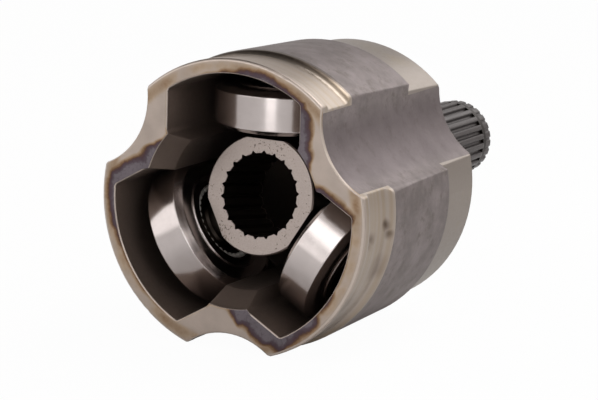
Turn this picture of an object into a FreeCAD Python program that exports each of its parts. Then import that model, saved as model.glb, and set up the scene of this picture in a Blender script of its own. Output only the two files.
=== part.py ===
import FreeCAD, Part
import Sketcher
import math
import os

doc = FreeCAD.newDocument("plunging_tripod_joint")
sheet = doc.addObject("Spreadsheet::Sheet", "dims")

# Driving sizes in millimetres and degrees. The joint axis is Y, from the open mouth at y = 0 to the stub.
# The three lobes point to 90, 210 and 330 degrees in the XZ plane, measured from X towards Z.
driving = [
    # forged and turned outside of the tulip
    ("bootSeatRadius", 39.45, "turned seat of the boot"),
    ("bootSeatEnd", 13.2, "where the boot seat ends"),
    ("lipHeight", 0.85, "height of the lip over the boot seat"),
    ("lipLength", 2.9, "length of the lip"),
    ("lipRound", 0.8, "rounding of the lip's front edge"),
    ("shoulderHeight", 1.3, "height of the shoulder behind the boot seat"),
    ("shoulderRound", 2.2, "concave and convex rounding of the shoulder"),
    ("forgedDraft", 0.9, "drop of the forged outside from the shoulder to the rear band"),
    ("bodyLength", 69.4, "mouth to rear face"),
    ("bandLength", 19.4, "length of the rear turned band"),
    ("bandStep", 1.55, "step from the forging down to the band"),
    ("bandTaper", 0.5, "how much the band's radius drops to the rear"),
    ("rearChamfer", 0.7, "chamfer of the rear edge"),
    ("flankDepth", 5.7, "depth of the hollow flanks below the boot seat"),
    ("scallopRadius", 20.4, "radius of each hollow flank at the mouth"),
    ("scallopCorner", 2.2, "rounding of the edges beside the hollow flanks"),
    ("scallopDraft", 0.53, "how much a flank's radius grows to the rear"),
    ("flankMargin", 3.2, "how far the flank cut runs past the forging"),
    # inside of the tulip
    ("rearWall", 7.4, "wall behind the tracks"),
    ("roofWall", 3.15, "wall between a track and the boot seat"),
    ("trackCorner", 1.4, "corner radius of the tracks"),
    ("trackClearance", 0.08, "running clearance of a roller in its track"),
    ("hookStep", 0.35, "how far the guide shoulder stands in from the track wall"),
    ("hookDrop", 6.2, "guide shoulder's corner below the ball centre"),
    ("hookRise", 1.1, "height over which the wall turns into the shoulder"),
    ("hookFoot", 2.5, "height of the pillar's side below that corner"),
    ("pillarGap", 6.65, "gap between hub and pillars"),
    ("coneHeight", 3.9, "width of the lead-in cone at the mouth"),
    ("coneDepth", 7.5, "depth of the lead-in cone"),
    ("mouthChamfer", 0.3, "edge break round the mouth"),
    # splined stub
    ("journalRadius", 15.0, "oil seal journal"),
    ("journalReach", 27.6, "rear face to the end of the oil seal journal"),
    ("journalChamfer", 1.6, "lead-in of the oil seal journal"),
    ("journalFillet", 3.2, "fillet between journal and rear face"),
    ("stubLength", 67.6, "rear face to stub end"),
    ("stubMajorRadius", 11.7, "tip radius of the stub spline"),
    ("stubToothDepth", 1.0, "depth of the stub spline"),
    ("stubReliefDepth", 1.4, "depth of the relief between journal and spline"),
    ("stubReliefWidth", 3.2, "width of the relief"),
    ("stubGapTip", 0.88, "half width of a stub tooth space at the tips"),
    ("stubGapRoot", 0.34, "half width of a stub tooth space at the roots"),
    ("toothMargin", 0.3, "how far the tooth cuts run past the tips"),
    ("stubEndChamfer", 0.5, "chamfer of the stub's end"),
    ("endCollarStep", 0.45, "how much the collar behind the circlip is turned down"),
    ("clipGrooveSetback", 6.0, "circlip groove to stub end"),
    ("clipGrooveWidth", 1.9, "width of the circlip groove"),
    ("clipGrooveDepth", 1.2, "depth of the circlip groove"),
    ("clipSink", 0.2, "how far the circlip lies below the tooth tips"),
    ("centreHoleRadius", 2.6, "centre hole in the stub's end"),
    ("centreHoleDepth", 4.4, "depth of the centre hole"),
    # spider
    ("articulation", 8.6, "tilt of the spider about X as it lies in the tulip"),
    ("spiderDepth", 26.1, "depth of the spider's centre"),
    ("roofGap", 12.0, "ball centre to the track's outer wall"),
    ("ballRadius", 8.0, "radius of each trunnion's ball end"),
    ("ballEnd", 5.2, "ball centre to the end flat"),
    ("neckInset", 1.6, "how much thinner the trunnion's neck is than its ball"),
    ("neckFoot", 1.3, "flare at the foot of the neck"),
    ("hubStandOff", 9.2, "hub's flat to ball centre"),
    ("hubFlatDepth", 1.35, "depth of the hub's flats below the trunnions"),
    ("hubHalfWidth", 10.75, "half width of the hub"),
    ("hubChamfer", 0.35, "chamfer of the hub's edges"),
    ("hubWall", 5.21, "hub's wall outside the spline tips"),
    ("boreToothDepth", 0.8, "depth of the bore's spline"),
    ("boreChamfer", 0.15, "edge break of the splined bore"),
    ("boreGapTip", 0.98, "half width of a bore tooth space at the tips"),
    ("boreGapRoot", 0.14, "half width of a bore tooth space at the roots"),
    ("trunnionRoot", 1.7, "how deep the trunnions are rooted in the hub"),
    ("flatMargin", 3.0, "how far the flat cut runs past the hub"),
    # roller cassettes
    ("ballClearance", 0.05, "radial clearance of the ball in the inner ring"),
    ("innerRingWall", 1.3, "wall of the inner ring"),
    ("needleRadius", 0.98, "radius of a needle"),
    ("needleDome", 0.45, "height of a needle's rounded ends"),
    ("needleGap", 0.02, "least gap between neighbouring needles"),
    ("raceClearance", 0.03, "radial clearance of the needles on either race"),
    ("rollerWall", 8.75, "roller's wall between race and rolling surface"),
    ("rollerHalfWidth", 6.3, "half width of a roller"),
    ("rollerChamferLength", 1.75, "length of a roller's side chamfers"),
    ("rollerChamferDepth", 2.3, "depth of a roller's side chamfers"),
    ("innerSetback", 0.7, "roller's hub side to the needles"),
    ("outerSetback", 2.7, "roller's outer side to the needles"),
    ("innerRingSetback", 1.1, "roller's hub side to the inner ring"),
    ("sideClearance", 0.05, "end clearance of needles and inner ring"),
    ("washerThickness", 0.75, "thickness of the retaining washer"),
    ("washerStep", 0.35, "washer's hole over the inner ring's bore"),
    ("seatClearance", 0.05, "clearance of rings in their grooves"),
    ("snapThickness", 0.35, "thickness of the snap rings"),
    ("snapCover", 0.3, "how far the snap rings stand in from the race"),
    ("snapGrooveDepth", 0.9, "depth of the snap ring grooves"),
    ("collarRadius", 13.9, "radius of the low collar round the race"),
    ("collarHeight", 0.4, "how far the collars stand out of the roller's sides"),
    ("collarTaper", 0.12, "taper of a collar over its height"),
    ("topOffset", 0.65, "top cassette's middle beyond its ball centre"),
    ("lowerOffset", -0.3, "lower cassettes' middles beyond their ball centres"),
]
# Sizes that follow from the driving ones.
derived = [
    ("lipRadius", "=bootSeatRadius+lipHeight"),
    ("lipInner", "=lipRadius-lipRound"),
    ("lipFoot", "=lipLength+lipHeight"),
    ("forgedFront", "=bootSeatRadius+shoulderHeight"),
    ("forgedRear", "=forgedFront-forgedDraft"),
    ("bandStart", "=bodyLength-bandLength"),
    ("bandRadius", "=forgedRear-bandStep"),
    ("bandEnd", "=bodyLength-rearChamfer"),
    ("bandRear", "=bandRadius-bandTaper"),
    ("rearFaceRadius", "=bandRear-rearChamfer"),
    ("shoulderRise", "=shoulderHeight/2"),
    ("shoulderRun", "=sqrt(shoulderRound^2-(shoulderRound-shoulderRise)^2)"),
    ("shoulderMid", "=bootSeatEnd+shoulderRun"),
    ("shoulderEnd", "=shoulderMid+shoulderRun"),
    ("shoulderStep", "=bootSeatRadius+shoulderRise"),
    ("trackOuter", "=bootSeatRadius-roofWall"),
    ("trunnionReach", "=trackOuter-roofGap"),
    ("cavityDepth", "=bodyLength-rearWall"),
    ("innerRingBore", "=ballRadius+ballClearance"),
    ("innerRingOuter", "=innerRingBore+innerRingWall"),
    ("needlePitch", "=innerRingOuter+raceClearance+needleRadius"),
    ("rollerRace", "=needlePitch+needleRadius+raceClearance"),
    ("rollerRadius", "=rollerRace+rollerWall"),
    ("trackHalf", "=rollerRadius+trackClearance"),
    ("cornerX", "=trackHalf-trackCorner"),
    ("cornerZ", "=sqrt((trackOuter-trackCorner)^2-cornerX^2)"),
    ("roofX", "=cornerX*trackOuter/(trackOuter-trackCorner)"),
    ("roofZ", "=cornerZ*trackOuter/(trackOuter-trackCorner)"),
    ("hubFlat", "=trunnionReach-hubStandOff"),
    ("hubRadius", "=hubFlat+hubFlatDepth"),
    ("pillarRadius", "=hubRadius+pillarGap"),
    ("coneRadius", "=pillarRadius+coneHeight"),
    ("hookHeight", "=trunnionReach-hookDrop"),
    ("hookX", "=trackHalf-hookStep"),
    ("hookTop", "=hookHeight+hookRise"),
    ("footZ", "=hookHeight-hookFoot"),
    ("footX", "=sqrt(pillarRadius^2-footZ^2)"),
    ("journalEnd", "=bodyLength+journalReach"),
    ("journalRootRadius", "=journalRadius+journalFillet"),
    ("journalRootEnd", "=bodyLength+journalFillet"),
    ("journalLead", "=journalEnd-journalChamfer"),
    ("journalTip", "=journalRadius-journalChamfer"),
    ("splineStart", "=journalEnd+stubReliefWidth"),
    ("splineRunIn", "=splineStart+stubToothDepth"),
    ("stubReliefRadius", "=stubMajorRadius-stubReliefDepth"),
    ("stubRootRadius", "=stubMajorRadius-stubToothDepth"),
    ("stubEnd", "=bodyLength+stubLength"),
    ("clipGrooveStart", "=stubEnd-clipGrooveSetback"),
    ("clipGrooveEnd", "=clipGrooveStart+clipGrooveWidth"),
    ("clipGrooveRadius", "=stubMajorRadius-clipGrooveDepth"),
    ("clipInner", "=clipGrooveRadius+seatClearance"),
    ("clipOuter", "=stubMajorRadius-clipSink"),
    ("clipLow", "=clipGrooveStart+seatClearance"),
    ("clipTop", "=clipGrooveEnd-seatClearance"),
    ("stubLead", "=stubEnd-stubEndChamfer"),
    ("endCollar", "=stubMajorRadius-endCollarStep"),
    ("stubTip", "=endCollar-stubEndChamfer"),
    ("centreHoleTop", "=stubEnd-centreHoleDepth"),
    ("stubGapTop", "=stubMajorRadius+toothMargin"),
    ("stubGapLength", "=stubEnd-splineStart+stubReliefWidth/2"),
    ("scallopCentre", "=bootSeatRadius-flankDepth+scallopRadius"),
    ("flankLength", "=bodyLength+flankMargin"),
    ("roundReach", "=forgedFront-scallopCorner"),
    ("rearScallop", "=scallopRadius+scallopDraft"),
    ("hubFace", "=hubHalfWidth-hubChamfer"),
    ("hubEdge", "=hubRadius-hubChamfer"),
    ("hubLength", "=2*hubHalfWidth"),
    ("flatTop", "=hubRadius+flatMargin"),
    ("rootHeight", "=hubFlat-trunnionRoot"),
    ("neckRadius", "=ballRadius-neckInset"),
    ("neckFootRadius", "=neckRadius+neckFoot"),
    ("neckLow", "=hubFlat+neckFoot"),
    ("neckTop", "=trunnionReach-sqrt(ballRadius^2-neckRadius^2)"),
    ("ballTop", "=trunnionReach+ballEnd"),
    ("ballTopRadius", "=sqrt(ballRadius^2-ballEnd^2)"),
    ("boreCrestRadius", "=hubRadius-hubWall"),
    ("boreRootRadius", "=boreCrestRadius+boreToothDepth"),
    ("boreMouth", "=boreCrestRadius+boreChamfer"),
    ("boreLeadEnd", "=hubHalfWidth-boreChamfer"),
    ("boreGapLow", "=boreCrestRadius-toothMargin"),
    ("spiderHeight", "=-trunnionReach/2*(1-cos(articulation))"),
    ("lowerBallDepth", "=spiderDepth-trunnionReach/2*sin(articulation)"),
    ("topBallDepth", "=spiderDepth+trunnionReach*sin(articulation)"),
    ("topBallHeight", "=spiderHeight+trunnionReach*cos(articulation)"),
    ("rollerFaceRadius", "=rollerRadius-rollerChamferDepth"),
    ("rollerTread", "=rollerHalfWidth-rollerChamferLength"),
    ("collarTop", "=collarRadius-collarTaper"),
    ("rollerSide", "=rollerHalfWidth-collarHeight"),
    ("needleStart", "=innerSetback-rollerHalfWidth"),
    ("needleEnd", "=rollerHalfWidth-outerSetback"),
    ("needleShoulder", "=needleStart+needleDome"),
    ("needleFarShoulder", "=needleEnd-needleDome"),
    ("domeRadius", "=(needleRadius^2+needleDome^2)/(2*needleDome)"),
    ("innerRingStart", "=innerRingSetback-rollerHalfWidth"),
    ("snapInner", "=rollerRace-snapCover"),
    ("snapGroove", "=rollerRace+snapGrooveDepth"),
    ("snapOuter", "=snapGroove-seatClearance"),
    ("innerSnapTop", "=needleStart-sideClearance"),
    ("innerSnapLow", "=innerSnapTop-snapThickness"),
    ("innerGrooveTop", "=innerSnapTop+seatClearance"),
    ("innerGrooveLow", "=innerSnapLow-seatClearance"),
    ("washerHole", "=innerRingBore+washerStep"),
    ("washerOuter", "=rollerRace-seatClearance"),
    ("washerLow", "=needleEnd+sideClearance"),
    ("washerTop", "=washerLow+washerThickness"),
    ("outerSnapTop", "=washerTop+snapThickness"),
    ("outerGrooveTop", "=outerSnapTop+seatClearance"),
    ("lowerRadius", "=trunnionReach+lowerOffset"),
    ("lowerX", "=lowerRadius*cos(30)"),
    ("lowerZ", "=-lowerRadius*sin(30)"),
    ("topZ", "=topBallHeight+topOffset"),
]
# The flank cut's outline at the mouth and, a little wider, behind the rear face.
for end, radius in [("mouth", "scallopRadius"), ("rear", "rearScallop")]:
    span = "(" + radius + "+scallopCorner)"
    cosine = end + "Cosine"
    sine = end + "Sine"
    derived += [
        (cosine, "=(roundReach^2+scallopCentre^2-" + span + "^2)/(2*roundReach*scallopCentre)"),
        (sine, "=sqrt(1-" + cosine + "^2)"),
        (end + "OuterX", "=forgedFront*" + sine),
        (end + "OuterZ", "=forgedFront*" + cosine),
        (end + "FarX", "=(forgedFront+flankMargin)*" + sine),
        (end + "FarZ", "=(forgedFront+flankMargin)*" + cosine),
        (end + "InnerX", "=roundReach*" + sine + "*" + radius + "/" + span),
        (end + "InnerZ", "=scallopCentre-(scallopCentre-roundReach*" + cosine + ")*" + radius + "/" + span),
    ]
edgeTolerance = 0.01  # for finding the edges in the mouth's plane
stubTeeth = 25
boreTeeth = 22
snapOpening = 36.0  # gap of the snap rings in degrees

row = 1
for alias, value, note in driving:
    sheet.set("A%d" % row, alias)
    sheet.set("B%d" % row, str(value))
    sheet.set("C%d" % row, note)
    sheet.setAlias("B%d" % row, alias)
    row += 1
for alias, formula in derived:
    sheet.set("A%d" % row, alias)
    sheet.set("B%d" % row, formula)
    sheet.setAlias("B%d" % row, alias)
    row += 1
doc.recompute()


def size(alias):
    value = sheet.get(alias)
    if hasattr(value, "Value"):
        value = value.Value
    return float(value)


needleSpace = size("needleRadius") + size("needleGap") / 2
needleCount = int(math.pi / math.asin(needleSpace / size("needlePitch")))


def coordinate(name):
    if name == "0":
        return 0.0
    if name.startswith("-"):
        return -size(name[1:])
    return size(name)


def bound(name):
    if name.startswith("-"):
        return "-dims." + name[1:]
    return "dims." + name


def newSketch(body, planeRole, name):
    sketch = body.newObject("Sketcher::SketchObject", name)
    plane = None
    for feature in body.Origin.OriginFeatures:
        if feature.Role == planeRole:
            plane = feature
    sketch.AttachmentSupport = [(plane, "")]
    sketch.MapMode = "FlatFace"
    return sketch


def pinPoint(sketch, geometry, position, names):
    horizontal, vertical = names
    if horizontal == "0":
        sketch.addConstraint(Sketcher.Constraint("PointOnObject", geometry, position, -2))
    else:
        index = sketch.addConstraint(
            Sketcher.Constraint("DistanceX", -1, 1, geometry, position, coordinate(horizontal)))
        sketch.setExpression("Constraints[%d]" % index, bound(horizontal))
    if vertical == "0":
        sketch.addConstraint(Sketcher.Constraint("PointOnObject", geometry, position, -1))
    else:
        index = sketch.addConstraint(
            Sketcher.Constraint("DistanceY", -1, 1, geometry, position, coordinate(vertical)))
        sketch.setExpression("Constraints[%d]" % index, bound(vertical))


def arcBetween(start, end, radius, turnLeft):
    chord = end.sub(start)
    half = chord.Length / 2
    rise = math.sqrt(max(radius * radius - half * half, 0.0))
    side = FreeCAD.Vector(-chord.y, chord.x, 0)
    side.normalize()
    middle = start.add(end).multiply(0.5)
    if turnLeft:
        centre = middle.add(side.multiply(rise))
        first = start
        last = end
    else:
        centre = middle.sub(side.multiply(rise))
        first = end
        last = start
    beginAngle = math.atan2(first.y - centre.y, first.x - centre.x)
    finishAngle = math.atan2(last.y - centre.y, last.x - centre.x)
    circle = Part.Circle(centre, FreeCAD.Vector(0, 0, 1), radius)
    return Part.ArcOfCircle(circle, beginAngle, finishAngle)


def drawOutline(sketch, corners, arcs):
    # corners are pairs of size names; arcs gives, by the corner it starts from, a radius name and its turn
    count = len(corners)
    points = []
    for names in corners:
        points.append(FreeCAD.Vector(coordinate(names[0]), coordinate(names[1]), 0))
    ends = []
    for index in range(count):
        start = points[index]
        end = points[(index + 1) % count]
        if index in arcs:
            radiusName, turnLeft = arcs[index]
            segment = arcBetween(start, end, size(radiusName), turnLeft)
            geometry = sketch.addGeometry(segment, False)
            position = (1, 2) if turnLeft else (2, 1)
            constraint = sketch.addConstraint(
                Sketcher.Constraint("Radius", geometry, size(radiusName)))
            sketch.setExpression("Constraints[%d]" % constraint, bound(radiusName))
        else:
            geometry = sketch.addGeometry(Part.LineSegment(start, end), False)
            position = (1, 2)
        ends.append((geometry, position))
    for index in range(count):
        geometry, position = ends[index]
        following, followingPosition = ends[(index + 1) % count]
        sketch.addConstraint(Sketcher.Constraint(
            "Coincident", geometry, position[1], following, followingPosition[0]))
        pinPoint(sketch, geometry, position[0], corners[index])


def newBody(label):
    body = doc.addObject("PartDesign::Body", label)
    body.Label = label
    return body


def revolve(body, sketch, name, degrees=360.0, axisName="V_Axis"):
    feature = body.newObject("PartDesign::Revolution", name)
    feature.Profile = sketch
    feature.ReferenceAxis = (sketch, [axisName])
    feature.Angle = degrees
    feature.Midplane = degrees < 360.0
    sketch.Visibility = False
    doc.recompute()
    return feature


def grooveCut(body, sketch, name):
    before = body.Shape.Volume
    feature = body.newObject("PartDesign::Groove", name)
    feature.Profile = sketch
    feature.ReferenceAxis = (sketch, ["V_Axis"])
    feature.Angle = 360.0
    doc.recompute()
    if body.Shape.Volume >= before:
        raise RuntimeError(name + " removed nothing")
    return feature


def pocket(body, sketch, name, lengthName, backwards=False):
    before = body.Shape.Volume
    feature = body.newObject("PartDesign::Pocket", name)
    feature.Profile = sketch
    feature.Reversed = backwards
    feature.Length = size(lengthName)
    feature.setExpression("Length", bound(lengthName))
    doc.recompute()
    if body.Shape.Volume >= before:
        raise RuntimeError(name + " removed nothing")
    return feature


def polar(body, feature, name, copies):
    pattern = body.newObject("PartDesign::PolarPattern", name)
    pattern.Originals = [feature]
    axis = None
    for origin in body.Origin.OriginFeatures:
        if origin.Role == "Y_Axis":
            axis = origin
    pattern.Axis = (axis, [""])
    pattern.Angle = 360.0
    pattern.Occurrences = copies
    body.Tip = pattern
    doc.recompute()
    return pattern


def moveSketch(sketch, normalName, backwards):
    # the XZ plane's normal points to -Y
    sketch.AttachmentOffset = FreeCAD.Placement(
        FreeCAD.Vector(0, 0, 0), FreeCAD.Rotation())
    expression = ("-dims." if backwards else "dims.") + normalName
    sketch.setExpression("AttachmentOffset.Base.z", expression)
    doc.recompute()


# The tulip: turned and forged outside in one piece with the splined stub.
tulip = newBody("tulip_housing")
outside = newSketch(tulip, "XY_Plane", "tulip_outside")
drawOutline(outside, [
    ("0", "0"),
    ("lipInner", "0"),
    ("lipRadius", "lipRound"),
    ("lipRadius", "lipLength"),
    ("bootSeatRadius", "lipFoot"),
    ("bootSeatRadius", "bootSeatEnd"),
    ("shoulderStep", "shoulderMid"),
    ("forgedFront", "shoulderEnd"),
    ("forgedRear", "bandStart"),
    ("bandRadius", "bandStart"),
    ("bandRear", "bandEnd"),
    ("rearFaceRadius", "bodyLength"),
    ("journalRootRadius", "bodyLength"),
    ("journalRadius", "journalRootEnd"),
    ("journalRadius", "journalLead"),
    ("journalTip", "journalEnd"),
    ("stubReliefRadius", "journalEnd"),
    ("stubReliefRadius", "splineStart"),
    ("stubMajorRadius", "splineRunIn"),
    ("stubMajorRadius", "clipGrooveStart"),
    ("clipGrooveRadius", "clipGrooveStart"),
    ("clipGrooveRadius", "clipGrooveEnd"),
    ("endCollar", "clipGrooveEnd"),
    ("endCollar", "stubLead"),
    ("stubTip", "stubEnd"),
    ("0", "stubEnd"),
], {
    1: ("lipRound", True),
    5: ("shoulderRound", False),
    6: ("shoulderRound", True),
    12: ("journalFillet", False),
})
revolve(tulip, outside, "tulip_turned")


flankSketches = []
for end, radius in [("mouth", "scallopRadius"), ("rear", "rearScallop")]:
    flank = newSketch(tulip, "XZ_Plane", "flank_outline_" + end)
    if end == "rear":
        moveSketch(flank, "flankLength", True)
    drawOutline(flank, [
        (end + "InnerX", "-" + end + "InnerZ"),
        ("-" + end + "InnerX", "-" + end + "InnerZ"),
        ("-" + end + "OuterX", "-" + end + "OuterZ"),
        ("-" + end + "FarX", "-" + end + "FarZ"),
        (end + "FarX", "-" + end + "FarZ"),
        (end + "OuterX", "-" + end + "OuterZ"),
    ], {0: (radius, True), 1: ("scallopCorner", False), 5: ("scallopCorner", False)})
    flankSketches.append(flank)
uncut = tulip.Shape.Volume
flankCut = tulip.newObject("PartDesign::SubtractiveLoft", "flank_cut")
flankCut.Profile = flankSketches[0]
flankCut.Sections = [flankSketches[1]]
flankCut.Ruled = True
doc.recompute()
if tulip.Shape.Volume >= uncut:
    raise RuntimeError("flank_cut removed nothing")
polar(tulip, flankCut, "flanks", 3)

track = newSketch(tulip, "XZ_Plane", "track_outline")
drawOutline(track, [
    ("-footX", "footZ"),
    ("footX", "footZ"),
    ("hookX", "hookHeight"),
    ("trackHalf", "hookTop"),
    ("trackHalf", "cornerZ"),
    ("roofX", "roofZ"),
    ("-roofX", "roofZ"),
    ("-trackHalf", "cornerZ"),
    ("-trackHalf", "hookTop"),
    ("-hookX", "hookHeight"),
], {4: ("trackCorner", True), 5: ("trackOuter", True), 6: ("trackCorner", True)})
trackCut = pocket(tulip, track, "track_cut", "cavityDepth")
polar(tulip, trackCut, "tracks", 3)

well = newSketch(tulip, "XY_Plane", "well_outline")
drawOutline(well, [
    ("0", "0"),
    ("coneRadius", "0"),
    ("pillarRadius", "coneDepth"),
    ("pillarRadius", "cavityDepth"),
    ("0", "cavityDepth"),
], {})
wellCut = grooveCut(tulip, well, "well")

# the edges of tracks and flanks are broken at the mouth
mouthEdges = []
nearest = size("coneRadius") + size("hookRise")
furthest = size("trackOuter") + edgeTolerance
for index, edge in enumerate(tulip.Shape.Edges):
    box = edge.BoundBox
    middle = edge.valueAt((edge.FirstParameter + edge.LastParameter) / 2)
    reach = math.hypot(middle.x, middle.z)
    atMouth = abs(box.YMin) < edgeTolerance and abs(box.YMax) < edgeTolerance
    if atMouth and nearest < reach < furthest:
        mouthEdges.append("Edge%d" % (index + 1))
edgeBreak = tulip.newObject("PartDesign::Chamfer", "mouth_edge_break")
edgeBreak.Base = (wellCut, mouthEdges)
edgeBreak.Size = size("mouthChamfer")
edgeBreak.setExpression("Size", "dims.mouthChamfer")
doc.recompute()

toothSpace = newSketch(tulip, "XZ_Plane", "stub_tooth_space")
moveSketch(toothSpace, "stubEnd", True)
drawOutline(toothSpace, [
    ("-stubGapRoot", "stubRootRadius"),
    ("stubGapRoot", "stubRootRadius"),
    ("stubGapTip", "stubGapTop"),
    ("-stubGapTip", "stubGapTop"),
], {})
toothCut = pocket(tulip, toothSpace, "stub_tooth_cut", "stubGapLength", backwards=True)
polar(tulip, toothCut, "stub_spline", stubTeeth)

centreHole = newSketch(tulip, "XY_Plane", "centre_hole_outline")
drawOutline(centreHole, [
    ("0", "centreHoleTop"),
    ("centreHoleRadius", "stubEnd"),
    ("0", "stubEnd"),
], {})
grooveCut(tulip, centreHole, "centre_hole")

# The ring that holds the stub in the gearbox's side gear.
clip = newBody("stub_circlip")
clipOutline = newSketch(clip, "YZ_Plane", "circlip_outline")
drawOutline(clipOutline, [
    ("clipLow", "clipInner"),
    ("clipTop", "clipInner"),
    ("clipTop", "clipOuter"),
    ("clipLow", "clipOuter"),
], {})
revolve(clip, clipOutline, "circlip_ring", 360.0 - snapOpening, "H_Axis")

# The spider, drawn about its own axis Y and then tilted as the joint lies.
spider = newBody("spider")
hub = newSketch(spider, "XY_Plane", "hub_outline")
drawOutline(hub, [
    ("boreMouth", "-hubHalfWidth"),
    ("hubEdge", "-hubHalfWidth"),
    ("hubRadius", "-hubFace"),
    ("hubRadius", "hubFace"),
    ("hubEdge", "hubHalfWidth"),
    ("boreMouth", "hubHalfWidth"),
    ("boreCrestRadius", "boreLeadEnd"),
    ("boreCrestRadius", "-boreLeadEnd"),
], {})
revolve(spider, hub, "hub")

flat = newSketch(spider, "XZ_Plane", "hub_flat_outline")
moveSketch(flat, "hubHalfWidth", False)
drawOutline(flat, [
    ("-hubRadius", "hubFlat"),
    ("hubRadius", "hubFlat"),
    ("hubRadius", "flatTop"),
    ("-hubRadius", "flatTop"),
], {})
flatCut = pocket(spider, flat, "hub_flat_cut", "hubLength")
polar(spider, flatCut, "hub_flats", 3)

trunnion = newSketch(spider, "XZ_Plane", "trunnion_outline")
drawOutline(trunnion, [
    ("0", "rootHeight"),
    ("neckFootRadius", "rootHeight"),
    ("neckFootRadius", "hubFlat"),
    ("neckRadius", "neckLow"),
    ("neckRadius", "neckTop"),
    ("ballTopRadius", "ballTop"),
    ("0", "ballTop"),
], {4: ("ballRadius", True)})
trunnionTurned = revolve(spider, trunnion, "trunnion")
polar(spider, trunnionTurned, "trunnions", 3)

boreSpace = newSketch(spider, "XZ_Plane", "bore_tooth_space")
moveSketch(boreSpace, "hubHalfWidth", False)
drawOutline(boreSpace, [
    ("-boreGapTip", "boreGapLow"),
    ("boreGapTip", "boreGapLow"),
    ("boreGapRoot", "boreRootRadius"),
    ("-boreGapRoot", "boreRootRadius"),
], {})
boreCut = pocket(spider, boreSpace, "bore_tooth_cut", "hubLength")
polar(spider, boreCut, "bore_spline", boreTeeth)
spider.Placement = FreeCAD.Placement(
    FreeCAD.Vector(0, size("spiderDepth"), size("spiderHeight")),
    FreeCAD.Rotation(FreeCAD.Vector(-1, 0, 0), size("articulation")))
spider.setExpression("Placement.Base.y", "dims.spiderDepth")
spider.setExpression("Placement.Base.z", "dims.spiderHeight")
spider.setExpression("Placement.Rotation.Angle", "dims.articulation")


def turned(label, corners, arcs, degrees=360.0):
    # a ring drawn about its own Z axis; a split ring has its gap towards +Y
    body = newBody(label)
    outline = newSketch(body, "YZ_Plane", label + "_outline")
    drawOutline(outline, corners, arcs)
    revolve(body, outline, label + "_turned", degrees)
    return body


def seat(body, side):
    # sets a cassette piece on the axis of its trunnion
    turns = {"top": 0.0, "left": -120.0, "right": 120.0}
    sideways = {"top": "0", "left": "-lowerX", "right": "lowerX"}
    depth = "topBallDepth" if side == "top" else "lowerBallDepth"
    height = "topZ" if side == "top" else "lowerZ"
    body.Placement = FreeCAD.Placement(
        FreeCAD.Vector(coordinate(sideways[side]), size(depth), size(height)),
        FreeCAD.Rotation(FreeCAD.Vector(0, 1, 0), turns[side]))
    if side != "top":
        body.setExpression("Placement.Base.x", bound(sideways[side]))
    body.setExpression("Placement.Base.y", bound(depth))
    body.setExpression("Placement.Base.z", bound(height))


# Each trunnion carries a cassette: roller, needle row, inner ring and the rings that hold them together.
for side in ["top", "left", "right"]:
    seat(turned("roller_" + side, [
        ("collarTop", "-rollerHalfWidth"),
        ("collarRadius", "-rollerSide"),
        ("rollerFaceRadius", "-rollerSide"),
        ("rollerRadius", "-rollerTread"),
        ("rollerRadius", "rollerTread"),
        ("rollerFaceRadius", "rollerSide"),
        ("collarRadius", "rollerSide"),
        ("collarTop", "rollerHalfWidth"),
        ("rollerRace", "rollerHalfWidth"),
        ("rollerRace", "outerGrooveTop"),
        ("snapGroove", "outerGrooveTop"),
        ("snapGroove", "washerTop"),
        ("rollerRace", "washerTop"),
        ("rollerRace", "innerGrooveTop"),
        ("snapGroove", "innerGrooveTop"),
        ("snapGroove", "innerGrooveLow"),
        ("rollerRace", "innerGrooveLow"),
        ("rollerRace", "-rollerHalfWidth"),
    ], {}), side)

    seat(turned("inner_ring_" + side, [
        ("innerRingBore", "innerRingStart"),
        ("innerRingOuter", "innerRingStart"),
        ("innerRingOuter", "needleEnd"),
        ("innerRingBore", "needleEnd"),
    ], {}), side)

    needles = newBody("needles_" + side)
    needles.AllowCompound = True
    needleOutline = newSketch(needles, "YZ_Plane", "needle_outline_" + side)
    needleOutline.AttachmentOffset = FreeCAD.Placement(
        FreeCAD.Vector(size("needlePitch"), 0, 0), FreeCAD.Rotation())
    needleOutline.setExpression("AttachmentOffset.Base.x", "dims.needlePitch")
    drawOutline(needleOutline, [
        ("0", "needleStart"),
        ("needleRadius", "needleShoulder"),
        ("needleRadius", "needleFarShoulder"),
        ("0", "needleEnd"),
    ], {0: ("domeRadius", True), 2: ("domeRadius", True)})
    needle = revolve(needles, needleOutline, "needle_" + side)
    row = needles.newObject("PartDesign::PolarPattern", "needle_row_" + side)
    row.Originals = [needle]
    for origin in needles.Origin.OriginFeatures:
        if origin.Role == "Z_Axis":
            row.Axis = (origin, [""])
    row.Angle = 360.0
    row.Occurrences = needleCount
    needles.Tip = row
    seat(needles, side)

    seat(turned("snap_ring_inner_" + side, [
        ("-snapOuter", "innerSnapLow"),
        ("-snapInner", "innerSnapLow"),
        ("-snapInner", "innerSnapTop"),
        ("-snapOuter", "innerSnapTop"),
    ], {}, 360.0 - snapOpening), side)

    seat(turned("washer_outer_" + side, [
        ("washerHole", "washerLow"),
        ("washerOuter", "washerLow"),
        ("washerOuter", "washerTop"),
        ("washerHole", "washerTop"),
    ], {}), side)

    seat(turned("snap_ring_outer_" + side, [
        ("-snapOuter", "washerTop"),
        ("-snapInner", "washerTop"),
        ("-snapInner", "outerSnapTop"),
        ("-snapOuter", "outerSnapTop"),
    ], {}, 360.0 - snapOpening), side)

doc.recompute()
os.makedirs("parts", exist_ok=True)
for item in doc.Objects:
    if "Invalid" in item.State or "Error" in item.State:
        raise RuntimeError(item.Label + " did not compute")
for item in doc.Objects:
    if item.TypeId == "PartDesign::Body":
        if item.Shape.isNull() or not item.Shape.isValid():
            raise RuntimeError(item.Label + " has no sound shape")
        item.Shape.exportStep("parts/" + item.Label + ".step")
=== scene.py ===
import math

import bmesh
import bpy
from mathutils import Matrix, Vector


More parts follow.
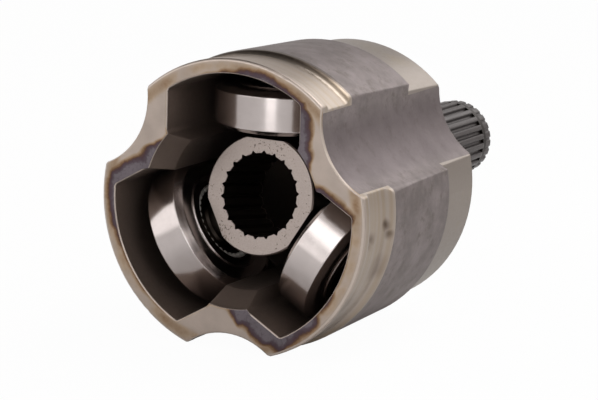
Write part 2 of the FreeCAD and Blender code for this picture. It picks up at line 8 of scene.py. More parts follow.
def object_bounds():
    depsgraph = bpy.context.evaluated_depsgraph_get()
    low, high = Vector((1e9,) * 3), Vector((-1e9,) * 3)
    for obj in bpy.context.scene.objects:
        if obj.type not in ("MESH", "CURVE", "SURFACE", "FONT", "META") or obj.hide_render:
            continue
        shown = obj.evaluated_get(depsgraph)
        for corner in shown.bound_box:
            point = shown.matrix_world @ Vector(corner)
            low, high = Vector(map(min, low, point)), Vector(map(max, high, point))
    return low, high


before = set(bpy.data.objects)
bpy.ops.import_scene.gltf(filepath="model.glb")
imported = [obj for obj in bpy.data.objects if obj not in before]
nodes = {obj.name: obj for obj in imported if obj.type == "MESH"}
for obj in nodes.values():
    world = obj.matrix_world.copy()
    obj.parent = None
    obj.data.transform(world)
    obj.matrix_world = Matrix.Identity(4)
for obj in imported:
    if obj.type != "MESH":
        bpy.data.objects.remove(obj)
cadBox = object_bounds()
print("frame loaded:", len(nodes), "nodes")

# the Mix node has several sockets of each name, so they go by number
factor, colourA, colourB, colourOut = 0, 6, 7, 2
floatA, floatB = 2, 3
colourMix = {"data_type": "RGBA"}
colourTimes = {"data_type": "RGBA", "blend_type": "MULTIPLY"}
floatMix = {"data_type": "FLOAT"}
smoothStep = {"interpolation_type": "SMOOTHSTEP"}
noiseSockets = ("Scale", "Detail", "Roughness")
rangeSockets = ("From Min", "From Max", "To Min", "To Max")
mmPerMetre = 1000.0
pureWhite = (1, 1, 1, 1)


def hexColour(text):
    # sRGB hex to the linear numbers that Blender's sockets take
    values = []
    for i in (0, 2, 4):
        c = int(text[i:i + 2], 16) / 255
        values.append(c / 12.92 if c <= 0.04045 else ((c + 0.055) / 1.055) ** 2.4)
    return (*values, 1.0)


def addNode(tree, kind, settings=None, inputs=None):
    # one node with its settings; an input is a value, another node or a pair of node and output
    node = tree.nodes.new("ShaderNode" + kind)
    for name, value in (settings or {}).items():
        setattr(node, name, value)
    for name, value in (inputs or {}).items():
        socket = node.inputs[name]
        if isinstance(value, bpy.types.Node):
            tree.links.new(value.outputs[0], socket)
        elif isinstance(value, tuple) and value and isinstance(value[0], bpy.types.Node):
            tree.links.new(value[0].outputs[value[1]], socket)
        else:
            socket.default_value = value
    return node


def wayTo(azimuth, elevation):
    # unit vector, with the azimuth in degrees from -Y towards +X
    swing, rise = math.radians(azimuth), math.radians(elevation)
    x, y = math.sin(swing) * math.cos(rise), -math.cos(swing) * math.cos(rise)
    return Vector((x, y, math.sin(rise)))


# camera at the photograph's angle, with its slight roll
camera = {
    "place": (0.35078, -0.59368, 0.14491),
    "azimuth": 29.07,
    "elevation": 11.618,
    "roll": -1.640,
    "focalLength": 160.57,  # mm
    "sensorWidth": 36,
    "clipStart": 0.05,
    "clipEnd": 20,
}
forward = -wayTo(camera["azimuth"], camera["elevation"])
azimuth, roll = math.radians(camera["azimuth"]), math.radians(camera["roll"])
level = Vector((math.cos(azimuth), math.sin(azimuth), 0))
down = forward.cross(level)
side = math.cos(roll) * level + math.sin(roll) * down
upward = math.sin(roll) * level - math.cos(roll) * down
lens = bpy.data.cameras.new("photoCamera")
lens.sensor_width = camera["sensorWidth"]
lens.lens = camera["focalLength"]
lens.clip_start = camera["clipStart"]
lens.clip_end = camera["clipEnd"]
viewer = bpy.data.objects.new("photoCamera", lens)
turn = Matrix((side, upward, -forward)).transposed()
viewer.matrix_world = Matrix.Translation(camera["place"]) @ turn.to_4x4()
bpy.context.scene.collection.objects.link(viewer)
bpy.context.scene.camera = viewer
print("camera set")


# studio: white paper floor, pale surroundings, broad soft lights and one narrow strip in front
studio = {
    "floorSize": 6.0,
    "floorGap": 0.0002,
    "floorColour": "efefef",
    "cameraWhite": 0.97,
    "surroundColour": "f6f1ef",
    "aroundStrength": 0.74,
    # darker parts of the surroundings: azimuth, elevation, where each starts and is full as the
    # cosine of the angle from its middle, and the strength left there
    "patches": [
        (32, 0, 0.62, 0.88, 0.2),      # beside the viewpoint, keeps polished faces from flat white
        (-115, 68, 0.80, 0.92, 0.03),  # high at the left, gives the boot seat's cove its dark line
    ],
    # name, azimuth, elevation, distance, width, height, radiance
    "lights": [
        ("frontSoft", -38, 13, 1.2, 1.15, 0.62, 0.68),
        ("stripSoft", 4, 18, 0.34, 0.11, 0.31, 1.5),
        ("sideSoft", 66, 26, 1.2, 0.6, 0.45, 2.05),
        ("backSoft", 155, 30, 1.5, 1.6, 0.6, 1.2),
        ("floorSoft", 138, 62, 0.55, 0.30, 0.30, 3.0),
    ],
}
lowest = cadBox[0][2]
mesh = bpy.data.meshes.new("floor")
bm = bmesh.new()
bmesh.ops.create_grid(bm, x_segments=1, y_segments=1, size=studio["floorSize"] / 2)
bmesh.ops.translate(bm, verts=bm.verts, vec=(0, 0, lowest - studio["floorGap"]))
bm.to_mesh(mesh)
bm.free()
floor = bpy.data.objects.new("floor", mesh)
bpy.context.scene.collection.objects.link(floor)
paper = bpy.data.materials.new("whitePaperFloor")
paper.use_nodes = True
tree = paper.node_tree
tree.nodes.clear()
rays = addNode(tree, "LightPath")
matt = addNode(tree, "BsdfDiffuse", {}, {"Color": hexColour(studio["floorColour"])})
white = addNode(tree, "Emission", {}, {"Color": pureWhite, "Strength": 1.0})
seen = addNode(tree, "Math", {"operation": "MULTIPLY"}, {
    0: (rays, "Is Camera Ray"), 1: studio["cameraWhite"]})
floorMix = addNode(tree, "MixShader", {}, {0: seen, 1: matt, 2: white})
addNode(tree, "OutputMaterial", {}, {"Surface": floorMix})
mesh.materials.append(paper)

world = bpy.data.worlds.new("studioWorld")
bpy.context.scene.world = world
world.use_nodes = True
tree = world.node_tree
tree.nodes.clear()
rays = addNode(tree, "LightPath")
direction = addNode(tree, "TexCoord")
strength = studio["aroundStrength"]
for azimuth, elevation, start, full, left in studio["patches"]:
    facing = addNode(tree, "VectorMath", {"operation": "DOT_PRODUCT"}, {
        0: (direction, "Generated"), 1: wayTo(azimuth, elevation)})
    shade = addNode(tree, "MapRange", smoothStep, {
        "Value": (facing, "Value"), "From Min": start, "From Max": full,
        "To Min": 1.0, "To Max": left})
    strength = addNode(tree, "Math", {"operation": "MULTIPLY"}, {0: strength, 1: (shade, "Result")})
surround = addNode(tree, "Background", {}, {
    "Color": hexColour(studio["surroundColour"]), "Strength": strength})
clear = addNode(tree, "Background", {}, {"Color": pureWhite, "Strength": 1.0})
worldMix = addNode(tree, "MixShader", {}, {0: (rays, "Is Camera Ray"), 1: surround, 2: clear})
addNode(tree, "OutputWorld", {}, {"Surface": worldMix})

for title, azimuth, elevation, distance, width, height, radiance in studio["lights"]:
    lamp = bpy.data.lights.new(title, "AREA")
    lamp.shape = "RECTANGLE"
    lamp.size = width
    lamp.size_y = height
    lamp.energy = radiance * math.pi * width * height
    holder = bpy.data.objects.new(title, lamp)
    away = wayTo(azimuth, elevation)
    holder.location = away * distance
    holder.rotation_euler = (-away).to_track_quat("-Z", "Y").to_euler()
    holder.visible_camera = False
    bpy.context.scene.collection.objects.link(holder)
bpy.context.scene.view_settings.view_transform = "Standard"
print("studio set")


def newMaterial(title):
    material = bpy.data.materials.new(title)
    material.use_nodes = True
    material.node_tree.nodes.clear()
    return material, material.node_tree


def dress(starts, material):
    for name in nodes:
        if name.startswith(starts):
            for holder in nodes[name].material_slots:
                holder.material = material


def lobePlace(tree):
    # place in mm, distance from the joint axis, and sideways and outward place in the nearest lobe
    lobeStep = math.radians(120)
    texture = addNode(tree, "TexCoord")
    mm = addNode(tree, "VectorMath", {"operation": "SCALE"}, {
        0: (texture, "Object"), "Scale": mmPerMetre})
    axes = addNode(tree, "SeparateXYZ", {}, {0: mm})
    flat = addNode(tree, "CombineXYZ", {}, {0: (axes, "X"), 1: 0.0, 2: (axes, "Z")})
    reach = addNode(tree, "VectorMath", {"operation": "LENGTH"}, {0: flat})
    angle = addNode(tree, "Math", {"operation": "ARCTAN2"}, {0: (axes, "X"), 1: (axes, "Z")})
    third = addNode(tree, "Math", {"operation": "DIVIDE"}, {0: angle, 1: lobeStep})
    whole = addNode(tree, "Math", {"operation": "ROUND"}, {0: third})
    rest = addNode(tree, "Math", {"operation": "SUBTRACT"}, {0: third, 1: whole})
    swing = addNode(tree, "Math", {"operation": "MULTIPLY"}, {0: rest, 1: lobeStep})
    sine = addNode(tree, "Math", {"operation": "SINE"}, {0: swing})
    cosine = addNode(tree, "Math", {"operation": "COSINE"}, {0: swing})
    across = addNode(tree, "Math", {"operation": "MULTIPLY"}, {0: sine, 1: (reach, "Value")})
    outward = addNode(tree, "Math", {"operation": "MULTIPLY"}, {0: cosine, 1: (reach, "Value")})
    aside = addNode(tree, "Math", {"operation": "ABSOLUTE"}, {0: across})
    return {"mm": mm, "y": (axes, "Y"), "z": (axes, "Z"), "flat": flat,
            "reach": (reach, "Value"), "angle": angle, "aside": aside, "outward": outward}


# The tulip: medium-carbon steel, forged, then turned at the mouth, the boot seat and the rear band.
# Forged skin is dull grey-brown and mottled, turned steel is satin, and the mouth keeps the
# straw, brown and violet tints of induction hardening. All places and widths are in mm.
tulip = {
    "turnedColour": "938a82",
    "turnedStraw": "978b79",
    "seatColour": "ada298",
    "forgedLight": "938a89",
    "forgedDark": "7d7573",
    "forgedSmudge": "6b635c",
    "flankShadeColour": "665d5f",
    "stainColour": "4c3828",
    "strawColour": "a08c6f",
    "coveReflectionColour": "4f453e",
    "insideNear": "7f7168",
    "insideShadeDeep": "665a53",
    "journalColour": "8f8884",
    "splineColour": "4a4544",
    # painted highlight along the mouth's edge break
    "edgeHighlightColour": "cdc1b7",
    # patterns: scale per mm, detail and roughness of each noise
    "patterns": {
        "warp": (0.17, 1.2, 0.5),      # bends the tints' outlines, about 6 mm
        "straw": (0.08, 3.0, 0.5),     # straw that comes and goes round the mouth
        "speckle": (1.1, 3.0, 0.6),    # grain of the tinted face, under 1 mm
        "clouds": (0.13, 6.0, 0.62),   # scale that is thicker in places, about 8 mm
        "mottle": (0.9, 4.0, 0.65),    # grain of the forged skin, about 1 mm
        "smudges": (0.24, 5.0, 0.7),   # dark handling marks, about 4 mm
        "stains": (0.07, 4.0, 0.55),   # straw stains of the rear band, about 14 mm
        "skin": (0.9, 3.0, 0.55),      # pits of the forged skin, about 1 mm
    },
    # levels: pattern, the part of its range that is used and the values given for it
    "levels": {
        "tintRun": ("warp", 0.35, 0.65, 4.08, 2.89),
        "wash": ("warp", 0.35, 0.65, 0.93, 1.06),
        "straw": ("straw", 0.38, 0.62, 0.05, 0.30),
        "speckle": ("speckle", 0.3, 0.7, 0.88, 1.13),
        "clouds": ("clouds", 0.36, 0.66, 0.0, 1.0),
        "smudges": ("smudges", 0.53, 0.69, 0.0, 0.68),
        "mottle": ("mottle", 0.3, 0.7, 0.86, 1.1),
        "stains": ("stains", 0.56, 0.74, 0.0, 0.6),
        "bands": ("bands", 0.42, 0.68, 0.0, 0.55),
    },
    # zones of the one forging, by limits on a coordinate
    "limits": {
        "mouth": ("y", "LESS_THAN", 0.9),
        "behindFace": ("y", "GREATER_THAN", 0.012),
        "edgeBreak": ("y", "LESS_THAN", 0.32),
        "lip": ("y", "LESS_THAN", 16.6),
        "outsideLip": ("reach", "GREATER_THAN", 39.0),
        "bandStart": ("y", "GREATER_THAN", 50.02),
        "outsideBand": ("reach", "GREATER_THAN", 37.55),
        "rearFace": ("y", "GREATER_THAN", 69.35),
        "inTrack": ("aside", "LESS_THAN", 20.32),
        "underRoof": ("reach", "LESS_THAN", 36.4),
        "well": ("reach", "LESS_THAN", 26.9),
        "behindMouth": ("y", "GREATER_THAN", 0.32),
        "beforeRear": ("y", "LESS_THAN", 62.6),
        "stub": ("y", "GREATER_THAN", 69.9),
        "spline": ("y", "GREATER_THAN", 97.2),
    },
    # and by what two zones share (MULTIPLY) or either of them covers (MAXIMUM)
    "unions": {
        "seat": ("MULTIPLY", "lip", "outsideLip"),
        "band": ("MULTIPLY", "bandStart", "outsideBand"),
        "rear": ("MAXIMUM", "band", "rearFace"),
        "turned": ("MAXIMUM", "seat", "rear"),
        # the edge break, where the painted highlight goes
        "edge": ("MULTIPLY", "behindFace", "edgeBreak"),
        "track": ("MULTIPLY", "inTrack", "underRoof"),
        "hollow": ("MAXIMUM", "track", "well"),
        "deep": ("MULTIPLY", "behindMouth", "beforeRear"),
        "inside": ("MULTIPLY", "hollow", "deep"),
    },
    # how far a hardening tint has run from an inner edge, as a share, and its colour
    "tintSteps": [(0.0, "b9ada5"), (0.16, "ad9a86"), (0.34, "8b7056"), (0.48, "654d3f"),
                  (0.60, "55454a"), (0.80, "5a4f55"), (1.0, "726b70")],
    "roofEdge": 36.3,
    "wallEdge": 20.2,
    "wellEdge": 27.0,
    "tintWarp": (1.0, 1.0, 1.0),
    "spotCore": 0.4,      # share of a spot's reach with its full width
    "spotRim": 1.2,       # share of it where the width has run out
    "spotWidth": 0.94,
    "spotBlend": 1.0,
    # hardening tints on the mouth: x, z, reach along the edge and width of the tint
    "tintSpots": [
        (22.0, 24.5, 6.5, 5.4), (22.0, 20.0, 6.5, 4.8), (21.2, 16.4, 5.0, 2.8),
        (21.6, 28.6, 4.5, 3.2), (17.6, 32.2, 5.5, 2.8), (13.4, 35.0, 6.0, 3.2),
        (9.5, 36.4, 6.0, 3.8), (4.6, 37.2, 6.0, 3.4), (-0.5, 37.4, 5.5, 2.2),
        (-6.0, 37.0, 6.0, 1.2),
        (-34.6, 6.4, 6.5, 5.8), (-30.4, 8.6, 6.5, 5.7), (-26.6, 10.8, 6.0, 5.0),
        (-22.8, 12.6, 5.0, 2.8), (-37.9, 1.0, 6.5, 4.0), (-37.4, -5.5, 6.5, 3.7),
        (-35.8, -11.4, 6.0, 2.6), (-33.4, -17.6, 6.5, 1.9), (-28.6, -24.0, 6.5, 1.9),
        (-23.0, -29.0, 6.0, 1.5), (4.0, -28.6, 5.0, 3.6), (6.4, -30.6, 6.5, 5.8),
        (9.6, -32.6, 6.5, 6.6), (14.2, -34.2, 6.5, 5.6), (19.4, -33.4, 6.5, 4.4),
        (24.8, -29.0, 6.5, 4.1), (30.4, -21.8, 6.0, 2.3), (34.6, -13.0, 6.0, 1.5),
        (37.0, -5.0, 6.0, 1.3), (28.6, 7.6, 4.5, 3.0), (32.2, 6.6, 4.5, 3.2),
        (35.6, 3.6, 4.5, 2.6),
    ],
    # straw along the middle of the lobes' faces, and the least heat beside it
    "strawBand": 37.9,
    "strawReach": 2.7,
    "strawLeast": 0.02,
    "heatBlend": 0.08,
    # stains left on the boot seat: x, y, z, reach and strength
    "seatStains": [
        (39.4, 13.4, -1.0, 2.6, 0.95), (39.3, 14.6, -3.6, 2.6, 0.95), (39.2, 6.0, -3.4, 2.6, 0.6),
        (39.1, 5.6, -5.4, 2.4, 0.35), (37.4, 12.6, -13.0, 5.0, 0.35), (33.0, 4.0, -21.0, 6.0, 0.4),
    ],
    "stainWarp": (4.0, 4.0, 4.0),
    "bandPattern": (0.55, 3.0, 0.5),  # rings round the boot seat, about 2 mm wide
    # painted shade in the hollow flanks: from the deepest line out to the lobes' backs
    "flankDeep": 34.2,
    "flankEdge": 38.6,
    "flankShadeStrength": 0.62,
    # painted dark reflection in the cove behind the boot seat, on the top lobe
    "coveMiddle": 15.9,
    "coveCore": 0.7,
    "coveRim": 1.7,
    "coveReflectionStrength": 0.8,
    "coveLow": 33.0,
    "coveHigh": 35.5,
    # painted shade inside the hollow, from the mouth's edge to where it is darkest
    "nearEnd": 1.0,
    "deepStart": 16.0,
    # finish of each zone
    "forgedRoughness": 0.52,
    "turnedRoughness": 0.35,
    "mouthRoughness": 0.42,
    "splineMetal": 0.55,
    "insideMetal": 0.8,
    "forgedRelief": 0.4,
    "turnedRelief": 0.10,
    "reliefDepth": 0.00010,
    "turnStretch": (0.03, 2.0, 0.03),  # turning marks drawn 0.5 mm apart so that they show
    "turnPattern": (1.0, 2.0, 0.5),
    # radius in metres to which edges look rounded, at the mouth and behind it
    "mouthSoftness": 0.00035,
    "bodySoftness": 0.0008,
    "softSamples": 6,
    "softStart": 1.0,
    "softEnd": 3.0,
}
material, tree = newMaterial("forgedCarbonSteel")
p = lobePlace(tree)
noise = {}
for title, numbers in tulip["patterns"].items():
    noise[title] = addNode(tree, "TexNoise", {}, {
        "Vector": p["mm"], **dict(zip(noiseSockets, numbers))})
roundPlace = addNode(tree, "CombineXYZ", {}, {0: p["y"], 1: p["angle"], 2: 0.0})
noise["bands"] = addNode(tree, "TexNoise", {}, {
    "Vector": roundPlace, **dict(zip(noiseSockets, tulip["bandPattern"]))})
levels = {}
for title, (source, *numbers) in tulip["levels"].items():
    reached = addNode(tree, "MapRange", {}, {
        "Value": (noise[source], "Fac"), **dict(zip(rangeSockets, numbers))})
    levels[title] = (reached, "Result")
zones = {}
for title, (coordinate, operation, limit) in tulip["limits"].items():
    zones[title] = addNode(tree, "Math", {"operation": operation}, {0: p[coordinate], 1: limit})
for title, (operation, first, second) in tulip["unions"].items():
    zones[title] = addNode(tree, "Math", {"operation": operation}, {
        0: zones[first], 1: zones[second]})

# distance from the mouth's inner edge, and how wide the tint is there
warpShift = addNode(tree, "VectorMath", {"operation": "SUBTRACT"}, {
    0: (noise["warp"], "Color"), 1: (0.5, 0.5, 0.5)})
warped = addNode(tree, "VectorMath", {"operation": "MULTIPLY_ADD"}, {
    0: warpShift, 1: tulip["tintWarp"], 2: p["flat"]})
roofGap = addNode(tree, "Math", {"operation": "SUBTRACT"}, {0: p["reach"], 1: tulip["roofEdge"]})
wallGap = addNode(tree, "Math", {"operation": "SUBTRACT"}, {0: p["aside"], 1: tulip["wallEdge"]})
trackGap = addNode(tree, "Math", {"operation": "MAXIMUM"}, {0: roofGap, 1: wallGap})
wellGap = addNode(tree, "Math", {"operation": "SUBTRACT"}, {0: p["reach"], 1: tulip["wellEdge"]})
edgeGap = addNode(tree, "Math", {"operation": "MINIMUM"}, {0: trackGap, 1: wellGap})
tintWidth = 0.0
for x, z, reach, width in tulip["tintSpots"]:
    gap = addNode(tree, "VectorMath", {"operation": "DISTANCE"}, {0: warped, 1: (x, 0.0, z)})
    spot = addNode(tree, "MapRange", smoothStep, {
        "Value": (gap, "Value"), "From Min": reach * tulip["spotCore"],
        "From Max": reach * tulip["spotRim"], "To Min": width * tulip["spotWidth"], "To Max": 0.0})
    tintWidth = addNode(tree, "Math", {"operation": "SMOOTH_MAX"}, {
        0: tintWidth, 1: (spot, "Result"), 2: tulip["spotBlend"]})
tintLeft = addNode(tree, "Math", {"operation": "SUBTRACT"}, {0: tintWidth, 1: edgeGap})
edgeHeat = addNode(tree, "MapRange", {}, {
    "Value": tintLeft, "From Min": 0.0, "From Max": levels["tintRun"]})
bandGap = addNode(tree, "Math", {"operation": "SUBTRACT"}, {0: p["reach"], 1: tulip["strawBand"]})
bandAway = addNode(tree, "Math", {"operation": "ABSOLUTE"}, {0: bandGap})
strawHeat = addNode(tree, "MapRange", {"interpolation_type": "SMOOTHERSTEP"}, {
    "Value": bandAway, "From Min": 0.0, "From Max": tulip["strawReach"],
    "To Min": levels["straw"], "To Max": tulip["strawLeast"]})
heatBoth = addNode(tree, "Math", {"operation": "SMOOTH_MAX"}, {
    0: (strawHeat, "Result"), 1: (edgeHeat, "Result"), 2: tulip["heatBlend"]})
heatLevel = addNode(tree, "Math", {"operation": "MULTIPLY"}, {0: heatBoth, 1: levels["speckle"]})
tint = addNode(tree, "ValToRGB", {}, {"Fac": heatLevel})
ramp = tint.color_ramp
ramp.elements.remove(ramp.elements[1])
for i, (where, colour) in enumerate(tulip["tintSteps"]):
    stop = ramp.elements[0] if i == 0 else ramp.elements.new(where)
    stop.position = where
    stop.color = hexColour(colour)
washTone = addNode(tree, "CombineColor", {}, dict.fromkeys((0, 1, 2), levels["wash"]))
washTint = addNode(tree, "Mix", colourTimes, {factor: 1.0, colourA: tint, colourB: washTone})

# forged skin: clouds, smudges and a fine mottle, with painted shade darkening the hollow flanks
cloudTone = addNode(tree, "Mix", colourMix, {
    factor: levels["clouds"],
    colourA: hexColour(tulip["forgedDark"]), colourB: hexColour(tulip["forgedLight"])})
forged = addNode(tree, "Mix", colourMix, {
    factor: levels["smudges"],
    colourA: (cloudTone, colourOut), colourB: hexColour(tulip["forgedSmudge"])})
mottleTone = addNode(tree, "CombineColor", {}, dict.fromkeys((0, 1, 2), levels["mottle"]))
forgedFine = addNode(tree, "Mix", colourTimes, {
    factor: 1.0, colourA: (forged, colourOut), colourB: mottleTone})
# painted shade: darker towards the deepest line of each hollow flank
flankShadeLevel = addNode(tree, "MapRange", smoothStep, {
    "Value": p["reach"], "From Min": tulip["flankDeep"], "From Max": tulip["flankEdge"],
    "To Min": tulip["flankShadeStrength"], "To Max": 0.0})
forgedTone = addNode(tree, "Mix", colourMix, {
    factor: (flankShadeLevel, "Result"),
    colourA: (forgedFine, colourOut), colourB: hexColour(tulip["flankShadeColour"])})

# boot seat with straw rings and stains, the painted dark reflection in its cove, and the rear band
seatStraw = addNode(tree, "Mix", colourMix, {
    factor: levels["bands"],
    colourA: hexColour(tulip["seatColour"]), colourB: hexColour(tulip["strawColour"])})
stainPlace = addNode(tree, "VectorMath", {"operation": "MULTIPLY_ADD"}, {
    0: warpShift, 1: tulip["stainWarp"], 2: p["mm"]})
stainLevel = 0.0
for x, y, z, reach, most in tulip["seatStains"]:
    gap = addNode(tree, "VectorMath", {"operation": "DISTANCE"}, {0: stainPlace, 1: (x, y, z)})
    spot = addNode(tree, "MapRange", smoothStep, {
        "Value": (gap, "Value"), "From Min": 0.0, "From Max": reach, "To Min": most, "To Max": 0.0})
    stainLevel = addNode(tree, "Math", {"operation": "MAXIMUM"}, {
        0: stainLevel, 1: (spot, "Result")})
seatTone = addNode(tree, "Mix", colourMix, {
    factor: stainLevel,
    colourA: (seatStraw, colourOut), colourB: hexColour(tulip["stainColour"])})
# painted dark reflection: a dark line along the middle of the cove, on the top lobe only
coveGap = addNode(tree, "Math", {"operation": "SUBTRACT"}, {0: p["y"], 1: tulip["coveMiddle"]})
coveAway = addNode(tree, "Math", {"operation": "ABSOLUTE"}, {0: coveGap})
coveHeight = addNode(tree, "MapRange", {}, {
    "Value": p["z"], "From Min": tulip["coveLow"], "From Max": tulip["coveHigh"]})
coveReflectionLevel = addNode(tree, "MapRange", smoothStep, {
    "Value": coveAway, "From Min": tulip["coveCore"], "From Max": tulip["coveRim"],
    "To Min": tulip["coveReflectionStrength"], "To Max": 0.0})
coveReflectionZone = addNode(tree, "Math", {"operation": "MULTIPLY"}, {
    0: (coveReflectionLevel, "Result"), 1: (coveHeight, "Result")})
rearTone = addNode(tree, "Mix", colourMix, {
    factor: levels["stains"],
    colourA: hexColour(tulip["turnedColour"]), colourB: hexColour(tulip["turnedStraw"])})

# inside of the hollow, painted shade darker towards its floor, and the stub: turned journal, then
# rolled spline
depthShade = addNode(tree, "MapRange", smoothStep, {
    "Value": p["y"], "From Min": tulip["nearEnd"], "From Max": tulip["deepStart"]})
insideTone = addNode(tree, "Mix", colourMix, {
    factor: (depthShade, "Result"),
    colourA: hexColour(tulip["insideNear"]), colourB: hexColour(tulip["insideShadeDeep"])})
stubTone = addNode(tree, "Mix", colourMix, {
    factor: zones["spline"],
    colourA: hexColour(tulip["journalColour"]), colourB: hexColour(tulip["splineColour"])})

tone = (forgedTone, colourOut)
for zone, colour in (
        (zones["seat"], (seatTone, colourOut)),
        (coveReflectionZone, hexColour(tulip["coveReflectionColour"])),
        (zones["rear"], (rearTone, colourOut)),
        (zones["mouth"], (washTint, colourOut)),
        (zones["edge"], hexColour(tulip["edgeHighlightColour"])),
        (zones["inside"], (insideTone, colourOut)),
        (zones["stub"], (stubTone, colourOut))):
    layer = addNode(tree, "Mix", colourMix, {factor: zone, colourA: tone, colourB: colour})
    tone = (layer, colourOut)

# finish and relief; the mottle breaks the shine of every zone
roughTurned = addNode(tree, "Mix", floatMix, {
    factor: zones["turned"], floatA: tulip["forgedRoughness"], floatB: tulip["turnedRoughness"]})
roughMouth = addNode(tree, "Mix", floatMix, {
    factor: zones["mouth"], floatA: roughTurned, floatB: tulip["mouthRoughness"]})
rough = addNode(tree, "Math", {"operation": "MULTIPLY"}, {0: roughMouth, 1: levels["mottle"]})
stubMetal = addNode(tree, "Mix", floatMix, {
    factor: zones["spline"], floatA: 1.0, floatB: tulip["splineMetal"]})
metallic = addNode(tree, "Mix", floatMix, {
    factor: zones["inside"], floatA: stubMetal, floatB: tulip["insideMetal"]})
turnPlace = addNode(tree, "VectorMath", {"operation": "MULTIPLY"}, {
    0: p["mm"], 1: tulip["turnStretch"]})
turnMarks = addNode(tree, "TexNoise", {}, {
    "Vector": turnPlace, **dict(zip(noiseSockets, tulip["turnPattern"]))})
relief = addNode(tree, "Mix", floatMix, {
    factor: zones["turned"], floatA: (noise["skin"], "Fac"), floatB: (turnMarks, "Fac")})
reliefSize = addNode(tree, "Mix", floatMix, {
    factor: zones["turned"], floatA: tulip["forgedRelief"], floatB: tulip["turnedRelief"]})
softEdge = addNode(tree, "MapRange", {}, {
    "Value": p["y"], "From Min": tulip["softStart"], "From Max": tulip["softEnd"],
    "To Min": tulip["mouthSoftness"], "To Max": tulip["bodySoftness"]})
edges = addNode(tree, "Bevel", {"samples": tulip["softSamples"]}, {
    "Radius": (softEdge, "Result")})
bump = addNode(tree, "Bump", {}, {
    "Height": relief, "Strength": reliefSize, "Distance": tulip["reliefDepth"], "Normal": edges})
metal = addNode(tree, "BsdfPrincipled", {}, {
    "Base Color": tone, "Metallic": metallic, "Roughness": rough, "Normal": bump})
addNode(tree, "OutputMaterial", {}, {"Surface": metal})
dress("tulip_housing", material)
print("tulip dressed")

# The spider: case-hardened steel. Its faces are ground to a fine grey with scattered pits; the rest
# is coloured much darker.
spider = {
    "faceColour": "a59a94",
    "pitColour": "6e645e",
    "bodyColour": "4e4741",
    "lean": math.radians(8.6),  # as the joint lies in the photograph
    "facePlane": 15.077,        # mm along the spider's own axis
    "rearPlane": 36.577,
    "faceMargin": 0.4,
    # patterns: scale per mm, detail and roughness
    "pits": (1.7, 1.0, 0.5),        # the largest about 0.5 mm wide
    "pitAreas": (0.12, 1.0, 0.5),   # where the pits crowd
    "grain": (2.6, 3.0, 0.6),
    "pitSpread": -0.55,
    "pitLevel": 0.93,
    "pitSoftness": 0.07,
    "grainRange": (0.3, 0.7, 0.9, 1.06),
    "roughness": 0.38,
    "relief": 0.25,
    "reliefDepth": 0.00004,
}
material, tree = newMaterial("groundCaseHardenedSteel")
p = lobePlace(tree)
ownAxis = (0.0, math.cos(spider["lean"]), -math.sin(spider["lean"]))
along = addNode(tree, "VectorMath", {"operation": "DOT_PRODUCT"}, {0: p["mm"], 1: ownAxis})
front = addNode(tree, "Math", {"operation": "LESS_THAN"}, {
    0: (along, "Value"), 1: spider["facePlane"] + spider["faceMargin"]})
back = addNode(tree, "Math", {"operation": "GREATER_THAN"}, {
    0: (along, "Value"), 1: spider["rearPlane"] - spider["faceMargin"]})
face = addNode(tree, "Math", {"operation": "MAXIMUM"}, {0: front, 1: back})
pits, pitted, grain = (
    addNode(tree, "TexNoise", {}, {"Vector": p["mm"], **dict(zip(noiseSockets, spider[title]))})
    for title in ("pits", "pitAreas", "grain"))
pitArea = addNode(tree, "Math", {"operation": "MULTIPLY_ADD"}, {
    0: (pitted, "Fac"), 1: spider["pitSpread"], 2: spider["pitLevel"]})
pitEnd = addNode(tree, "Math", {"operation": "ADD"}, {0: pitArea, 1: spider["pitSoftness"]})
pitMask = addNode(tree, "MapRange", {}, {
    "Value": (pits, "Fac"), "From Min": pitArea, "From Max": pitEnd})
grainLevel = addNode(tree, "MapRange", {}, {
    "Value": (grain, "Fac"), **dict(zip(rangeSockets, spider["grainRange"]))})
grainTone = addNode(tree, "CombineColor", {}, dict.fromkeys((0, 1, 2), (grainLevel, "Result")))
facePits = addNode(tree, "Mix", colourMix, {
    factor: (pitMask, "Result"),
    colourA: hexColour(spider["faceColour"]), colourB: hexColour(spider["pitColour"])})
faceTone = addNode(tree, "Mix", colourTimes, {
    factor: 1.0, colourA: (facePits, colourOut), colourB: grainTone})
tone = addNode(tree, "Mix", colourMix, {
    factor: face, colourA: hexColour(spider["bodyColour"]), colourB: (faceTone, colourOut)})
bump = addNode(tree, "Bump", {}, {
    "Height": (grain, "Fac"), "Strength": spider["relief"], "Distance": spider["reliefDepth"]})
metal = addNode(tree, "BsdfPrincipled", {}, {
    "Base Color": (tone, colourOut), "Metallic": 1.0, "Roughness": spider["roughness"],
    "Normal": bump})
addNode(tree, "OutputMaterial", {}, {"Surface": metal})
dress("spider", material)
print("spider dressed")

# Rollers: bearing steel, hardened and ground round their axes, so the shine is clear
# but drawn out along each roller.
roller = {
    "groundColour": "ddd5d3",
    "filmColour": "c3bab7",
    "film": (0.2, 4.0, 0.6),
    "lines": (2.9, 4.0, 0.7),  # grinding lines, drawn 0.35 mm apart so that they show
    "shine": (0.3, 0.7, 0.13, 0.23),  # part of the lines' range and the roughness given for it
    "softness": 0.0005,
    "softSamples": 8,
    "relief": 0.12,
    "reliefDepth": 0.00002,
}
material, tree = newMaterial("groundBearingSteel")
p = lobePlace(tree)
linePlace = addNode(tree, "CombineXYZ", {}, {0: p["outward"], 1: 0.0, 2: 0.0})
lines = addNode(tree, "TexNoise", {}, {
    "Vector": linePlace, **dict(zip(noiseSockets, roller["lines"]))})
film = addNode(tree, "TexNoise", {}, {
    "Vector": p["mm"], **dict(zip(noiseSockets, roller["film"]))})
tone = addNode(tree, "Mix", colourMix, {
    factor: (film, "Fac"),
    colourA: hexColour(roller["groundColour"]), colourB: hexColour(roller["filmColour"])})
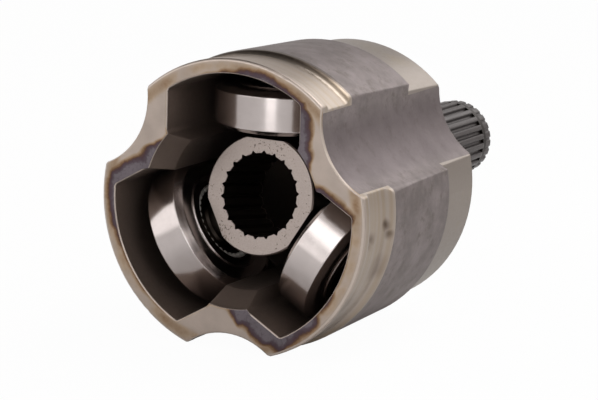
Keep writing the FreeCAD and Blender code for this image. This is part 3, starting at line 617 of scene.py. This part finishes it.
rough = addNode(tree, "MapRange", {}, {
    "Value": (lines, "Fac"), **dict(zip(rangeSockets, roller["shine"]))})
rounded = addNode(tree, "Bevel", {"samples": roller["softSamples"]}, {
    "Radius": roller["softness"]})
bump = addNode(tree, "Bump", {}, {
    "Height": (lines, "Fac"), "Strength": roller["relief"], "Distance": roller["reliefDepth"],
    "Normal": rounded})
metal = addNode(tree, "BsdfPrincipled", {}, {
    "Base Color": (tone, colourOut), "Metallic": 1.0, "Roughness": (rough, "Result"),
    "Normal": bump})
addNode(tree, "OutputMaterial", {}, {"Surface": metal})
dress("roller", material)
print("rollers dressed")

# Small pieces, each under a film of oil that is drawn coarser than it is.
# Rings and washers are blackened spring steel, so they stay dark between the bright pieces.
# Needles are polished steel; a painted highlight keeps them near white with little metal shine, so
# that their domed ends show as a row of dots.
# Inner rings are ground steel, coloured darker.
smallPieces = [
    {"starts": ("snap_ring", "stub_circlip", "washer_outer"), "title": "blackenedSpringSteel",
     "steel": "2c2927", "film": "46413e", "pattern": (1.2, 3.0, 0.5), "metallic": 1.0,
     "roughness": 0.4},
    {"starts": "needles", "title": "needleSteelPaintedLight",
     "steel": "f8f4ee", "film": "e4dcd5", "pattern": (0.5, 3.0, 0.5), "metallic": 0.25,
     "roughness": 0.38},
    {"starts": "inner_ring", "title": "darkRaceSteel",
     "steel": "6b635d", "film": "4a433e", "pattern": (0.5, 3.0, 0.5), "metallic": 1.0,
     "roughness": 0.3},
]
for piece in smallPieces:
    material, tree = newMaterial(piece["title"])
    p = lobePlace(tree)
    film = addNode(tree, "TexNoise", {}, {
        "Vector": p["mm"], **dict(zip(noiseSockets, piece["pattern"]))})
    tone = addNode(tree, "Mix", colourMix, {
        factor: (film, "Fac"),
        colourA: hexColour(piece["steel"]), colourB: hexColour(piece["film"])})
    metal = addNode(tree, "BsdfPrincipled", {}, {
        "Base Color": (tone, colourOut), "Metallic": piece["metallic"],
        "Roughness": piece["roughness"]})
    addNode(tree, "OutputMaterial", {}, {"Surface": metal})
    dress(piece["starts"], material)
print("materials set")
